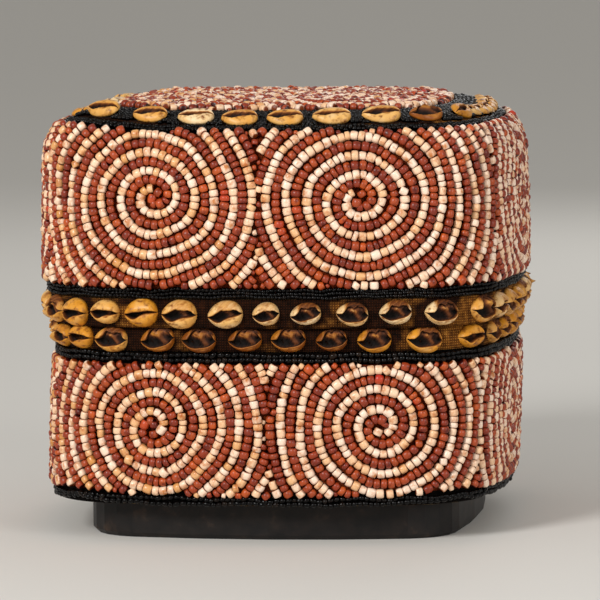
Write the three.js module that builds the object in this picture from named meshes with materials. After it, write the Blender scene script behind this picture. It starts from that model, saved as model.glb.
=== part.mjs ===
// A lidded keepsake box. A core of plaited cane is covered in cloth and sewn all over with strings of glass
// beads, wound in spirals, and with rows of cowrie shells. The lid lifts straight off the base, whose wall
// stands up inside it. Millimetres, +Z up. The origin is on the ground under the middle of the box, and the
// front looks towards -Y.

import * as THREE from "three";

// Fits
const SEAT_GAP = 0.3; // between two pieces that touch
const LID_CLEARANCE = 1; // between the lid and the wall it slides over, on each side

// The plan: four bowed sides joined by round corners
const BASE_HALF_WIDTH = 97; // to the outer face of the core
const BOW_RADIUS = 330;
const CORNER_RADIUS = 37;

// The cane cores
const BASE_WALL = 3.2;
const BASE_FLOOR = 4;
const BASE_HEIGHT = 76.3; // from the underside to the shoulder that the lid rests on
const BASE_TAPER = 1.5; // how far the wall draws in at the bottom
const BASE_BELLY = 1.2;
const INNER_WALL_RISE = 44; // how far the wall stands up inside the lid
const LID_RIM = 3; // thickness of the lid's wall at its rim
const LID_HEIGHT = 83.3; // from the rim to the edge of the top
const LID_BELLY = 1;
const SHOULDER_DROP = 19; // height of the rounded shoulder
const SHOULDER_LEAN = 0.7; // how far the wall has drawn in where the shoulder starts
const TOP_INSET = 10; // from the rim's outer face to where the rounded shoulder meets the top
const TOP_BOARD = 4;
const TOP_CROWN = 6.4; // how far the middle of the top stands above its edge
const CROWN_POWER = 5.5; // the crown is nearly flat in the middle and falls away towards the edge
const CEILING_BEVEL = 10;

// The foot
const FOOT_HEIGHT = 16.2;
const FOOT_INSET = 10; // behind the foot of the wall
const FOOT_THICKNESS = 9;
const FOOT_CHAMFER = 2;

// Beadwork, sewn to cloth
const FIELD_THICKNESS = 3.3; // the cloth and the beads on it, up to the valleys between the strings
const BEAD = 4.2; // width of one string of the large beads
const CROWN_WIDTH = 3.6; // of a pale string, where it stands out of the valleys
const CROWN_HEIGHT = 1.5;
const COIL_SEAT = 0.4; // under a coil, which crosses the facets of its field
const COIL_START = 4; // radius of a coil's first bead
const COIL_STEP = 9; // longest straight run of a coil
const COIL_STEPS_PER_TURN = 11; // fewest, near its middle
const FIELD_BORDER = 1; // from the outermost turn to the edge of the field
const LID_COIL_RISE = 5; // of a coil's centre above the middle of its field
const BASE_COIL_RISE = 0.8;
const LID_COIL_TURN = Math.PI / 2; // direction of a coil's inner end from its centre
const BASE_COIL_TURN = -Math.PI / 4;

// Strings of small black beads, two rows side by side
const STRING_WIDTH = 3.6;
const STRING_HEIGHT = 2;
const EDGE_STRING_WIDTH = 5; // on the shoulder, under the shells of the top
const TOP_STRING_WIDTH = 4.4;

// Cloth bands and the cowrie shells on them
const LID_BAND_WIDTH = 12.2;
const LID_BAND_THICKNESS = 0.8;
const BASE_BAND_WIDTH = 10;
const BASE_BAND_THICKNESS = 2.6; // padded, so that its upper edge carries the lid
const TOP_BAND_WIDTH = 12.5;
const LID_SHELL = { length: 15.4, width: 12, height: 5.2 };
const BASE_SHELL = { length: 15, width: 10.6, height: 5 };
const TOP_SHELL = { length: 16, width: 11.8, height: 5.2 };
const LID_SHELLS_PER_SIDE = 10;
const BASE_SHELLS_PER_SIDE = 9;
const TOP_SHELLS_PER_SIDE = 9;
const SHELL_CORD = 1.6; // width of the cord that each row of shells is strung on

// Facets of the plan: half a side's bow and half a corner
const BOW_STEPS = 2;
const CORNER_STEPS = 2;
const TOP_FACET_SHARES = [0.5, 0.8, 1]; // of the top's beadwork
const SIDES = ["front", "right", "back", "left"];
const QUARTER = Math.PI / 2;

// Levels that follow from the sizes
const baseUnderside = FOOT_HEIGHT;
const shoulderZ = baseUnderside + BASE_HEIGHT;
const rimZ = shoulderZ + SEAT_GAP;
const topEdgeZ = rimZ + LID_HEIGHT;
const lidInnerHalf = BASE_HALF_WIDTH + LID_CLEARANCE;
const lidHalf = lidInnerHalf + LID_RIM;
const topHalf = lidHalf - TOP_INSET;

// The bow of a side turns by this angle before the corner takes over.
const bowTurn = Math.acos((BOW_RADIUS - BASE_HALF_WIDTH) / (BOW_RADIUS - CORNER_RADIUS) / Math.SQRT2) - Math.PI / 4;
const cornerCentre = (BOW_RADIUS - CORNER_RADIUS) * Math.sin(bowTurn);

// A point of the outline offset to a half-width. turn is the direction of the outline's normal, from the middle
// of the side, and side counts from the front, anticlockwise from above.
function outlinePoint(side, turn, half, z) {
  const offset = half - BASE_HALF_WIDTH;
  const normal = new THREE.Vector2(Math.sin(turn), -Math.cos(turn));
  const onBow = Math.abs(turn) <= bowTurn;
  const centre = onBow
    ? new THREE.Vector2(0, BOW_RADIUS - BASE_HALF_WIDTH)
    : new THREE.Vector2(Math.sign(turn) * cornerCentre, -cornerCentre);
  const radius = (onBow ? BOW_RADIUS : CORNER_RADIUS) + offset;
  const p = centre.add(normal.multiplyScalar(radius)).rotateAround(new THREE.Vector2(), side * QUARTER);
  return new THREE.Vector3(p.x, p.y, z);
}

// Half the length of a side along the outline of a half-width, to the middle of the corner.
function halfRun(half) {
  const offset = half - BASE_HALF_WIDTH;
  return (BOW_RADIUS + offset) * bowTurn + (CORNER_RADIUS + offset) * (QUARTER / 2 - bowTurn);
}

// The normal's turn at a distance u along the outline of a half-width.
function turnAt(u, half) {
  const offset = half - BASE_HALF_WIDTH;
  const bowRun = (BOW_RADIUS + offset) * bowTurn;
  if (Math.abs(u) <= bowRun) return u / (BOW_RADIUS + offset);
  return Math.sign(u) * (bowTurn + (Math.abs(u) - bowRun) / (CORNER_RADIUS + offset));
}

// The turns at which a side is faceted, from its middle corner to middle corner.
const sideTurns = [];
for (let i = 0; i < CORNER_STEPS; i++)
  sideTurns.push(-QUARTER / 2 + ((QUARTER / 2 - bowTurn) * i) / CORNER_STEPS);
for (let i = -BOW_STEPS; i < BOW_STEPS; i++) sideTurns.push((bowTurn * i) / BOW_STEPS);
for (let i = 0; i <= CORNER_STEPS; i++)
  sideTurns.push(bowTurn + ((QUARTER / 2 - bowTurn) * i) / CORNER_STEPS);

// One closed loop of the outline.
function outlineLoop(half, z) {
  return SIDES.flatMap((_, side) => sideTurns.slice(0, -1).map((turn) => outlinePoint(side, turn, half, z)));
}

// The height of the crowned top over a point of the plan.
function topZ(x, y) {
  const fall = Math.abs(x / topHalf) ** CROWN_POWER + Math.abs(y / topHalf) ** CROWN_POWER;
  return topEdgeZ + TOP_CROWN * (1 - fall);
}

// One closed loop on the top, of the edge's shape drawn in to a half-width, at a height above the core.
function topLoop(half, above) {
  return outlineLoop(topHalf, 0).map((p) => {
    p.multiplyScalar(half / topHalf);
    return p.setZ(topZ(p.x, p.y) + above);
  });
}

// The outer faces of the two cores, as curves of half-width and height, from the bottom up.
const baseProfile = new THREE.Path()
  .moveTo(BASE_HALF_WIDTH - BASE_TAPER, baseUnderside)
  .quadraticCurveTo(BASE_HALF_WIDTH + BASE_BELLY, baseUnderside + BASE_HEIGHT / 2, BASE_HALF_WIDTH, shoulderZ);
const shoulderHalf = lidHalf - SHOULDER_LEAN;
const crownSlope = (CROWN_POWER * TOP_CROWN) / topHalf; // at the middle of the top's edge
const shoulderFall = (shoulderHalf - topHalf) * crownSlope;
const lidProfile = new THREE.Path()
  .moveTo(lidHalf, rimZ)
  .quadraticCurveTo(
    lidHalf + LID_BELLY,
    rimZ + (LID_HEIGHT - SHOULDER_DROP) / 2,
    shoulderHalf,
    topEdgeZ - SHOULDER_DROP,
  )
  .quadraticCurveTo(shoulderHalf, topEdgeZ - shoulderFall, topHalf, topEdgeZ);

// A point at a distance along a profile, stood off it by a distance.
function profilePoint(profile, along, out) {
  const share = THREE.MathUtils.clamp(along / profile.getLength(), 0, 1);
  const p = profile.getPointAt(share);
  const tangent = profile.getTangentAt(share);
  return new THREE.Vector2(p.x + tangent.y * out, p.y - tangent.x * out);
}

// The distances along a profile at which everything that lies on it is faceted, with a number of spans for each of
// its curves.
function facetsOf(profile, spans) {
  const ends = [0, ...profile.getCurveLengths()];
  const inner = spans.flatMap((count, i) =>
    Array.from({ length: count }, (_, j) => ends[i] + ((ends[i + 1] - ends[i]) * j) / count),
  );
  return [...inner, ends.at(-1)];
}
const baseFacets = facetsOf(baseProfile, [3]);
const lidFacets = facetsOf(lidProfile, [2, 4]);

// The closed section of a layer that lies on a profile between two distances along it.
function layerSection(profile, facets, from, to, inner, outer) {
  const stops = [from, ...facets.filter((s) => s > from && s < to), to];
  return [
    ...stops.map((s) => profilePoint(profile, s, outer)),
    ...stops.reverse().map((s) => profilePoint(profile, s, inner)),
  ];
}

// A section with two rounded rows side by side, as strings of small beads have.
function twoRowSection(place, from, width, seat) {
  const across = [0, 1, 0.75, 0.5, 0.25];
  const up = [0, 0, 1, 0.6, 1];
  return across.map((share, i) => place(from + width * share, seat + STRING_HEIGHT * up[i]));
}

// A mesh's faces turned to point outwards.
function facingOut(geometry) {
  const p = geometry.getAttribute("position");
  const index = geometry.getIndex().array;
  const [a, b, c] = [new THREE.Vector3(), new THREE.Vector3(), new THREE.Vector3()];
  let volume = 0;
  for (let i = 0; i < index.length; i += 3) {
    a.fromBufferAttribute(p, index[i]);
    b.fromBufferAttribute(p, index[i + 1]);
    c.fromBufferAttribute(p, index[i + 2]);
    volume += a.dot(b.cross(c));
  }
  if (volume < 0) index.reverse();
  return geometry;
}

// Skins a run of loops of equal length. The run closes on itself, or ends in poles, or in flat caps.
function skin(loops, { closed = false, poles = null, cap = null } = {}) {
  const n = loops[0].length;
  const points = loops.flat();
  const index = [];
  const spans = closed ? loops.length : loops.length - 1;
  for (let i = 0; i < spans; i++)
    for (let j = 0; j < n; j++) {
      const next = (j + 1) % n;
      const far = ((i + 1) % loops.length) * n;
      index.push(i * n + j, i * n + next, far + next, i * n + j, far + next, far + j);
    }
  const last = (loops.length - 1) * n;
  if (poles) {
    const [first, end] = [points.push(poles[0]) - 1, points.push(poles[1]) - 1];
    for (let j = 0; j < n; j++) {
      index.push(first, (j + 1) % n, j);
      index.push(end, last + j, last + ((j + 1) % n));
    }
  }
  if (cap)
    for (const [a, b, c] of THREE.ShapeUtils.triangulateShape(cap, []))
      index.push(c, b, a, last + a, last + b, last + c);
  const geometry = new THREE.BufferGeometry().setFromPoints(points).setIndex(index);
  return facingOut(geometry);
}

// A ring of constant section all the way round the box.
function ringOf(section) {
  const loops = section.map((p) => outlineLoop(p.x, p.y));
  return skin(loops, { closed: true });
}

// A ring on the top, of a section in half-width and height above the core.
function topRingOf(section) {
  return skin(section.map((p) => topLoop(p.x, p.y)), { closed: true });
}

// A panel of constant section on one side, from corner to corner.
function panelOf(side, section) {
  const outerHalf = Math.max(...section.map((p) => p.x));
  const seam = SEAT_GAP / 2 / (CORNER_RADIUS + outerHalf - BASE_HALF_WIDTH);
  const turns = sideTurns.map((t) => THREE.MathUtils.clamp(t, seam - QUARTER / 2, QUARTER / 2 - seam));
  const loops = turns.map((turn) => section.map((p) => outlinePoint(side, turn, p.x, p.y)));
  return skin(loops, { cap: section });
}

// A frame for what is sewn on a wall: u runs along the side, v up the profile, and out away from it.
function wallFrame(side, profile, mid) {
  const reference = profilePoint(profile, mid, FIELD_THICKNESS).x;
  return {
    halfRun: halfRun(reference),
    at(u, v, out) {
      const p = profilePoint(profile, v, out);
      return outlinePoint(side, turnAt(u, reference), p.x, p.y);
    },
  };
}

// The same for the top, where u and v are plan distances from the middle.
const topFrame = {
  at: (u, v, out) => new THREE.Vector3(u, v, topZ(u, v) + out),
};

// A pale string of beads wound in a flat spiral and sewn down: the part of it that stands out of the valleys. It
// winds out anticlockwise, seen from outside, from the direction start.
const coilGaps = [];
function coilOn(frame, centre, reach, start) {
  const seat = SEAT_GAP + FIELD_THICKNESS + COIL_SEAT;
  const pitch = 2 * BEAD;
  const outermost = reach - FIELD_BORDER - CROWN_WIDTH / 2;
  const stations = [];
  for (let angle = 0, r = COIL_START; r < outermost; r = COIL_START + (pitch * angle) / (2 * Math.PI)) {
    stations.push([r, angle]);
    angle += Math.min((2 * Math.PI) / COIL_STEPS_PER_TURN, COIL_STEP / r);
  }
  const section = [
    [-CROWN_WIDTH / 2, 0],
    [CROWN_WIDTH / 2, 0],
    [CROWN_WIDTH / 4, CROWN_HEIGHT],
    [-CROWN_WIDTH / 4, CROWN_HEIGHT],
  ];
  const loops = stations.map(([r, angle]) => {
    const direction = start + angle;
    return section.map(([across, up]) => {
      const u = centre.x + (r + across) * Math.cos(direction);
      const v = centre.y + (r + across) * Math.sin(direction);
      return frame.at(u, v, seat + up);
    });
  });
  coilGaps.push(leastGap(loops, stations));
  return skin(loops, { cap: section.map(([x, y]) => new THREE.Vector2(x, y)) });
}

// The least distance between a coil's turns, from the outer edge of one to the inner edge of the next.
function leastGap(loops, stations) {
  let least = Infinity;
  stations.forEach(([, a], i) => {
    stations.forEach(([, b], j) => {
      if (b - a > Math.PI) least = Math.min(least, loops[i][1].distanceTo(loops[j][0]));
    });
  });
  return least;
}

// Half the section of a cowrie shell with its back cut away, as shares of its width and height: where it lies on
// the cloth, the crest of a lip, and the bottom of the slit between the two lips.
const SHELL_SECTION = [
  [0.94, 0],
  [0.5, 1],
  [0, 0.6],
];
// Its swelling along the length, from end to end, as shares of the length and of the width: one end is broader.
const SHELL_SWELL = [
  [-0.38, 0.68],
  [-0.03, 1],
  [0.36, 0.8],
];

// One side's row of shells, each joined to the next by the cord that strings them. centres are distances along
// the row.
function shellRow(frame, centres, v, shell, seat) {
  const right = SHELL_SECTION.slice(0, -1);
  const left = right.map(([across, up]) => [-across, up]).reverse();
  const section = [...right, SHELL_SECTION.at(-1), ...left];
  const loopAt = (u, width, height) =>
    section.map(([across, up]) => frame.at(u, v + (across * width) / 2, seat + up * height));
  const loops = centres.flatMap((u) => [
    loopAt(u - shell.length / 2, SHELL_CORD, SHELL_CORD),
    ...SHELL_SWELL.map(([along, swell]) => loopAt(u + along * shell.length, swell * shell.width, swell * shell.height)),
    loopAt(u + shell.length / 2, SHELL_CORD, SHELL_CORD),
  ]);
  return skin(loops, { cap: section.map(([x, y]) => new THREE.Vector2(x, y)) });
}

function evenCentres(count, halfLength) {
  return Array.from({ length: count }, (_, i) => ((2 * i + 1) / count - 1) * halfLength);
}

// Materials
const finish = (color, roughness) => new THREE.MeshStandardMaterial({ color, roughness, metalness: 0 });
const cane = finish(0xa07c4c, 0.7);
const paintedWood = finish(0x16120f, 0.5);
const bandCloth = finish(0x6f5234, 0.95);
const redBeads = finish(0x8c3a26, 0.35);
const paleBeads = finish(0xe6cfae, 0.3);
const blackBeads = finish(0x17161a, 0.2);
const shellFinish = finish(0xd9a75a, 0.3);

const box = new THREE.Group();
const base = new THREE.Group();
const lid = new THREE.Group();
box.add(base, lid);

function add(group, name, geometry, material) {
  const mesh = new THREE.Mesh(geometry, material);
  mesh.name = name;
  group.add(mesh);
}

// The foot, a frame of painted wood under the floor
const footHalf = BASE_HALF_WIDTH - BASE_TAPER - FOOT_INSET;
add(
  base,
  "foot_frame",
  ringOf([
    new THREE.Vector2(footHalf, FOOT_CHAMFER),
    new THREE.Vector2(footHalf, FOOT_HEIGHT - SEAT_GAP),
    new THREE.Vector2(footHalf - FOOT_THICKNESS, FOOT_HEIGHT - SEAT_GAP),
    new THREE.Vector2(footHalf - FOOT_THICKNESS, 0),
    new THREE.Vector2(footHalf - FOOT_CHAMFER, 0),
  ]),
  paintedWood,
);

// The base core: floor and wall in one, the wall going up past the shoulder
function baseCore() {
  const innerHalf = BASE_HALF_WIDTH - BASE_WALL;
  const wallTop = shoulderZ + INNER_WALL_RISE;
  const floorTop = baseUnderside + BASE_FLOOR;
  const outer = baseFacets.map((s) => profilePoint(baseProfile, s, 0));
  const loops = [
    ...outer.map((p) => outlineLoop(p.x, p.y)),
    outlineLoop(BASE_HALF_WIDTH, wallTop),
    outlineLoop(innerHalf, wallTop),
    outlineLoop(innerHalf, shoulderZ),
    outlineLoop(innerHalf - BASE_TAPER, floorTop),
  ];
  const poles = [new THREE.Vector3(0, 0, baseUnderside), new THREE.Vector3(0, 0, floorTop)];
  return skin(loops, { poles });
}
add(base, "base_core", baseCore(), cane);

// The top, from its edge inwards: band for the shells, string, beadwork
const topBandOuter = topHalf - SEAT_GAP;
const topBandInner = topBandOuter - TOP_BAND_WIDTH;
const topInnerString = topBandInner - SEAT_GAP - TOP_STRING_WIDTH;
const topFieldHalf = topInnerString - SEAT_GAP;
const onTop = (half, above) => new THREE.Vector2(half, above);

// The half-widths at which the top's core and its beadwork are faceted
const topFacets = TOP_FACET_SHARES.map((share) => share * topFieldHalf);

// The lid core: a wall, a rounded shoulder and a crowned top
function lidCore() {
  const outer = lidFacets.map((s) => profilePoint(lidProfile, s, 0));
  const ceiling = topEdgeZ - TOP_BOARD;
  const loops = [
    ...topFacets.map((half) => topLoop(half, 0)),
    ...outer.reverse().map((p) => outlineLoop(p.x, p.y)),
    outlineLoop(lidInnerHalf, rimZ),
    outlineLoop(lidInnerHalf, ceiling - CEILING_BEVEL),
    outlineLoop(lidInnerHalf - CEILING_BEVEL, ceiling),
  ];
  const poles = [new THREE.Vector3(0, 0, topZ(0, 0)), new THREE.Vector3(0, 0, ceiling)];
  return skin(loops, { poles });
}
add(lid, "lid_core", lidCore(), cane);

// Stacks the layers up a wall: each takes its width and leaves a seat gap above it.
function stackUp(first, widths) {
  let from = first;
  return widths.map((width) => {
    const slot = { from, to: from + width };
    from = slot.to + SEAT_GAP;
    return slot;
  });
}

// Base: bottom string, beadwork, upper string and the padded band under the lid's rim
const baseRun = baseProfile.getLength();
const baseFieldWidth = baseRun - 2 * STRING_WIDTH - BASE_BAND_WIDTH - 3 * SEAT_GAP;
const [baseHem, baseField, baseLine, baseBand] = stackUp(0, [
  STRING_WIDTH,
  baseFieldWidth,
  STRING_WIDTH,
  BASE_BAND_WIDTH,
]);
const onBase = (v, out) => profilePoint(baseProfile, v, out);
add(base, "base_bottom_string", ringOf(twoRowSection(onBase, baseHem.from, STRING_WIDTH, SEAT_GAP)), blackBeads);
add(base, "base_shoulder_string", ringOf(twoRowSection(onBase, baseLine.from, STRING_WIDTH, SEAT_GAP)), blackBeads);
add(
  base,
  "base_band",
  ringOf(layerSection(baseProfile, [], baseBand.from, baseBand.to, SEAT_GAP, SEAT_GAP + BASE_BAND_THICKNESS)),
  bandCloth,
);

// Lid: band at the rim, string, beadwork up to the shoulder, and the string on the shoulder
const lidRun = lidProfile.getLength();
const lidFieldWidth = lidRun - LID_BAND_WIDTH - STRING_WIDTH - EDGE_STRING_WIDTH - 3 * SEAT_GAP;
const [lidBand, lidLine, lidField, lidEdge] = stackUp(0, [
  LID_BAND_WIDTH,
  STRING_WIDTH,
  lidFieldWidth,
  EDGE_STRING_WIDTH,
]);
const onLid = (v, out) => profilePoint(lidProfile, v, out);
add(
  lid,
  "lid_band",
  ringOf(layerSection(lidProfile, [], lidBand.from, lidBand.to, SEAT_GAP, SEAT_GAP + LID_BAND_THICKNESS)),
  bandCloth,
);
add(lid, "lid_rim_string", ringOf(twoRowSection(onLid, lidLine.from, STRING_WIDTH, SEAT_GAP)), blackBeads);
add(lid, "lid_top_outer_string", ringOf(twoRowSection(onLid, lidEdge.from, EDGE_STRING_WIDTH, SEAT_GAP)), blackBeads);

// The top
add(lid, "lid_top_inner_string", topRingOf(twoRowSection(onTop, topInnerString, TOP_STRING_WIDTH, SEAT_GAP)), blackBeads);
add(
  lid,
  "lid_top_band",
  topRingOf([
    onTop(topBandInner, SEAT_GAP),
    onTop(topBandOuter, SEAT_GAP),
    onTop(topBandOuter, SEAT_GAP + LID_BAND_THICKNESS),
    onTop(topBandInner, SEAT_GAP + LID_BAND_THICKNESS),
  ]),
  bandCloth,
);

// Where the shells lie on the top: u runs along one edge and v inwards from the middle of the band.
const topRowHalf = (topBandInner + topBandOuter) / 2;
const topRowRun = (halfRun(topHalf) * topRowHalf) / topHalf;
const topRowFrame = (side) => ({
  at(u, v, out) {
    const turn = turnAt((u * topHalf) / topRowHalf, topHalf);
    const p = outlinePoint(side, turn, topHalf, 0).multiplyScalar((topRowHalf - v) / topHalf);
    return p.setZ(topZ(p.x, p.y) + out);
  },
});

function topBeadwork() {
  const above = SEAT_GAP + FIELD_THICKNESS;
  const loops = [
    ...topFacets.map((half) => topLoop(half, SEAT_GAP)),
    ...topFacets.map((half) => topLoop(half, above)).reverse(),
  ];
  const centre = topZ(0, 0);
  return skin(loops, { poles: [new THREE.Vector3(0, 0, centre + SEAT_GAP), new THREE.Vector3(0, 0, centre + above)] });
}
add(lid, "lid_top_beadwork", topBeadwork(), redBeads);

// Beadwork and shells on each side, two coils to a side on the lid and two on the base
const layers = [
  {
    group: lid,
    name: "lid",
    profile: lidProfile,
    facets: lidFacets,
    field: lidField,
    coilRise: LID_COIL_RISE,
    coilTurn: LID_COIL_TURN,
  },
  {
    group: base,
    name: "base",
    profile: baseProfile,
    facets: baseFacets,
    field: baseField,
    coilRise: BASE_COIL_RISE,
    coilTurn: BASE_COIL_TURN,
  },
];
SIDES.forEach((sideName, side) => {
  for (const { group, name, profile, facets, field, coilRise, coilTurn } of layers) {
    const section = layerSection(profile, facets, field.from, field.to, SEAT_GAP, SEAT_GAP + FIELD_THICKNESS);
    add(group, `${name}_${sideName}_beadwork`, panelOf(side, section), redBeads);
    const height = (field.from + field.to) / 2 + coilRise;
    const frame = wallFrame(side, profile, height);
    const reach = Math.min(field.to - height, height - field.from, frame.halfRun / 2);
    for (const [way, place] of [
      [-1, "left"],
      [1, "right"],
    ]) {
      const centre = new THREE.Vector2((way * frame.halfRun) / 2, height);
      add(group, `${name}_${sideName}_${place}_coil`, coilOn(frame, centre, reach, coilTurn), paleBeads);
    }
  }

  const lidFrame = wallFrame(side, lidProfile, lidField.from);
  const lidCentres = evenCentres(LID_SHELLS_PER_SIDE, lidFrame.halfRun);
  const lidSeat = SEAT_GAP + LID_BAND_THICKNESS + SEAT_GAP;
  const lidRow = shellRow(lidFrame, lidCentres, (lidBand.from + lidBand.to) / 2, LID_SHELL, lidSeat);
  add(lid, `lid_${sideName}_cowries`, lidRow, shellFinish);

  const baseFrame = wallFrame(side, baseProfile, baseBand.from);
  const baseCentres = evenCentres(BASE_SHELLS_PER_SIDE, baseFrame.halfRun);
  const baseSeat = SEAT_GAP + BASE_BAND_THICKNESS + SEAT_GAP;
  const baseRow = shellRow(baseFrame, baseCentres, (baseBand.from + baseBand.to) / 2, BASE_SHELL, baseSeat);
  add(base, `base_${sideName}_cowries`, baseRow, shellFinish);

  const topCentres = evenCentres(TOP_SHELLS_PER_SIDE, topRowRun);
  const topRow = shellRow(topRowFrame(side), topCentres, 0, TOP_SHELL, lidSeat);
  add(lid, `lid_top_${sideName}_cowries`, topRow, shellFinish);
});

// Four coils on the top
for (const [x, y, name] of [
  [-1, -1, "front_left"],
  [1, -1, "front_right"],
  [1, 1, "back_right"],
  [-1, 1, "back_left"],
]) {
  const centre = new THREE.Vector2(x, y).multiplyScalar(topFieldHalf / 2);
  add(lid, `lid_top_${name}_coil`, coilOn(topFrame, centre, topFieldHalf / 2, LID_COIL_TURN), paleBeads);
}

console.log(`least gap between a coil's turns: ${Math.min(...coilGaps).toFixed(2)} mm`);

export default box;
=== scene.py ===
"""A lidded box sewn all over with glass beads and cowrie shells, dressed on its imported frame.

Lengths are in millimetres until a mesh is made. A place on a wall is (u, v): u runs round the box from its
front left corner, anticlockwise from above, and v runs up the wall's face."""

import math
from collections import namedtuple

import bmesh
import bpy
import numpy as np
from mathutils import Matrix, Vector


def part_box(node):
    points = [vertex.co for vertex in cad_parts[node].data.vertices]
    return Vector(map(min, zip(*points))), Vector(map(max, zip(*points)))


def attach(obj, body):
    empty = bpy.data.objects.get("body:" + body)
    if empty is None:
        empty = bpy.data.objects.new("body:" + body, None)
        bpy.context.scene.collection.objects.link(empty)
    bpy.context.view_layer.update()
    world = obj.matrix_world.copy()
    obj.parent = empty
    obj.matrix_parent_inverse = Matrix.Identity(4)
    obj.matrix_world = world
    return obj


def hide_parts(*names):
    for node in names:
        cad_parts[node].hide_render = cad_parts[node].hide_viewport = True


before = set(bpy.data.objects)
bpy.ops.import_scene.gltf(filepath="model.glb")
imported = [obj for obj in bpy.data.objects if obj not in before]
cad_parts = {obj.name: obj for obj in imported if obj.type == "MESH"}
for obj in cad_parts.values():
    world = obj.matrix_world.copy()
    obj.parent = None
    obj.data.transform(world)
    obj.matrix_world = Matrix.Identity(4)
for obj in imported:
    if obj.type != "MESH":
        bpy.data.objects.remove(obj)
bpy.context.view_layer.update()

MM = 0.001
SIDES = ["front", "right", "back", "left"]
random = np.random.default_rng(20)

# Sizes of the frame that its boxes don't tell
SEAT_GAP = 0.3
BASE_HALF_WIDTH = 97.0
BOW_RADIUS = 330.0
CORNER_RADIUS = 37.0
BASE_HEIGHT = 76.3
BASE_TAPER = 1.5
BASE_BELLY = 1.2
LID_CLEARANCE = 1.0
LID_RIM = 3.0
LID_HEIGHT = 83.3
LID_BELLY = 1.0
SHOULDER_DROP = 19.0
SHOULDER_LEAN = 0.7
TOP_INSET = 10.0
TOP_CROWN = 6.4
CROWN_POWER = 5.5
STRING_WIDTH = 3.6
EDGE_STRING_WIDTH = 5.0
TOP_STRING_WIDTH = 4.4
LID_BAND_WIDTH = 12.2
BAND_THICKNESS = 0.8
BASE_BAND_WIDTH = 10.0
BASE_BAND_THICKNESS = 2.6
TOP_BAND_WIDTH = 12.5
BEAD = 4.2

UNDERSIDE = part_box("base_core")[0][2] / MM
SHOULDER_Z = UNDERSIDE + BASE_HEIGHT
RIM_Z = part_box("lid_core")[0][2] / MM
TOP_EDGE_Z = RIM_Z + LID_HEIGHT
LID_HALF = BASE_HALF_WIDTH + LID_CLEARANCE + LID_RIM
TOP_HALF_WIDTH = LID_HALF - TOP_INSET

# Beads: how far apart they are threaded, and how wide
CLOTH = 0.7  # thickness of the cloth that they are sewn to
PALE_SPACING, PALE_WIDTH = 3.3, 4.0
RED_SPACING, RED_WIDTH = 3.15, 4.1
SMALL_BEAD = 2.0
FINE_SPACING, COARSE_SPACING = 1.75, 2.6
TOP_ROW_SPACING = 1.9
LENGTH_SPREAD, LEAST_LENGTH, MOST_LENGTH = 0.13, 0.7, 1.35  # of a bead, as shares of its spacing
LEAST_WIDTH, MOST_WIDTH = 0.87, 1.09  # as shares of its width
LOOSE_SHARE = 0.03  # of the beads

# Strings
LINE_STEP = 0.5  # from point to point of a string
SHORTEST_RUN = 2.0
BETWEEN_STRINGS = 2.9  # from one spiral's outer turn to the next spiral's
ON_FIELD = 0.45  # the share of a bead's width that the field has to reach past its string
FILLER_BEAD = 3.8
ROOM_FOR_A_BEAD = 2.8
FILLER_GRID = 0.7
PALE_FILLERS = 0.35  # share of them
EDGE_DEPTH = 8.0  # how far inside a field its outermost beads lie
EDGE_STRING_ON_WALL = 2.8  # the part of the lid's top string that lies on the shoulder

# Each spiral: its centre from the middle of its side and up the wall, the radius at which its pale string
# first runs straight up, the distance from turn to turn, and how crowded its turns are above the centre
Winding = namedtuple("Winding", "across up start pitch crowding", defaults=[1.0])
LID_CROWDING = 0.91
LID_FRONT = [Winding(-45.8, 55.1, 1.8, 8.2, LID_CROWDING), Winding(42.7, 54.3, 1.1, 8.45, LID_CROWDING)]
BASE_FRONT = [Winding(-46.7, 33.5, 4.9, 7.9), Winding(50.5, 34.2, 5.5, 8.5)]
LEAST_PITCH, MOST_PITCH = 8.0, 8.5
PALE_INNER, RED_INNER = 4.0, 0.8  # radius at which each string of a spiral starts
SPIRAL_SHARES = [None, (0.36, 0.8), (0.25, 0.75), (0.25, 0.75)]  # how far along the other sides they lie
LID_CORNER_SHIFTS = [-12.0, 20.0, -8.0, 8.0]  # of the seam between two sides' beads, from the corner it turns
BASE_CORNER_SHIFTS = [-12.0, 11.0, -8.0, 8.0]
SEAM_OVERLAP = 2.0

# Under the cloth
CORNER_PADDING = 3.0  # at the lid's two left corners
CORNER_PADDING_REACH = 24.0
HEM_PADDING = 3.6  # on the base's left side, at its hem
HEM_PADDING_REACH = 60.0  # up the wall
PADDING_FADE = 30.0  # the distance over which padding runs out
HEM_RISE = 2.6  # of the base's hem at the corners, over the middle of its sides

# Cowries: length, width and height
LID_SHELL = (15.6, 12.2, 5.2)
BASE_SHELL = (15.6, 11.2, 5.0)
TOP_SHELL = (16.4, 10.8, 2.8)
SHELL_SINK = 0.4  # of the lid's shells into their band
TOP_SHELL_LIFT = 0.6  # of the top's shells over their band
TOP_SHELLS_IN = 3.6  # from the top band's outer edge to its shells
TOP_SHELL_LEANS = [0.6, 0.12, 0.3, 0.1]  # radians by which each side's shells on top tip outwards

# Cloths: faces round the box, how deep their faces ripple, and how far the base's band swells
GROUND_COLUMNS, BAND_COLUMNS = 240, 320
BAND_RIPPLE, BASE_BAND_RIPPLE = 0.15, 0.12
BASE_BAND_SWELL = 0.9

# The cane's plait
CANE_STRIP = 6.0
CANE_STRIPS_ROUND = 102  # even, so that the plait closes
CANE_WALL = (UNDERSIDE + 4.4, TOP_EDGE_Z - 4.6)  # above the floor and below the lid's ceiling


def run_along(points):
    """How far along a line each of its points lies."""
    return np.concatenate([[0], np.cumsum(np.linalg.norm(np.diff(points, axis=0), axis=1))])


def unit(vectors):
    return vectors / np.linalg.norm(vectors, axis=-1, keepdims=True)


def apart(u, other, around):
    """The distance between places on a line that closes."""
    return np.abs((u - other + around / 2) % around - around / 2)


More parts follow.
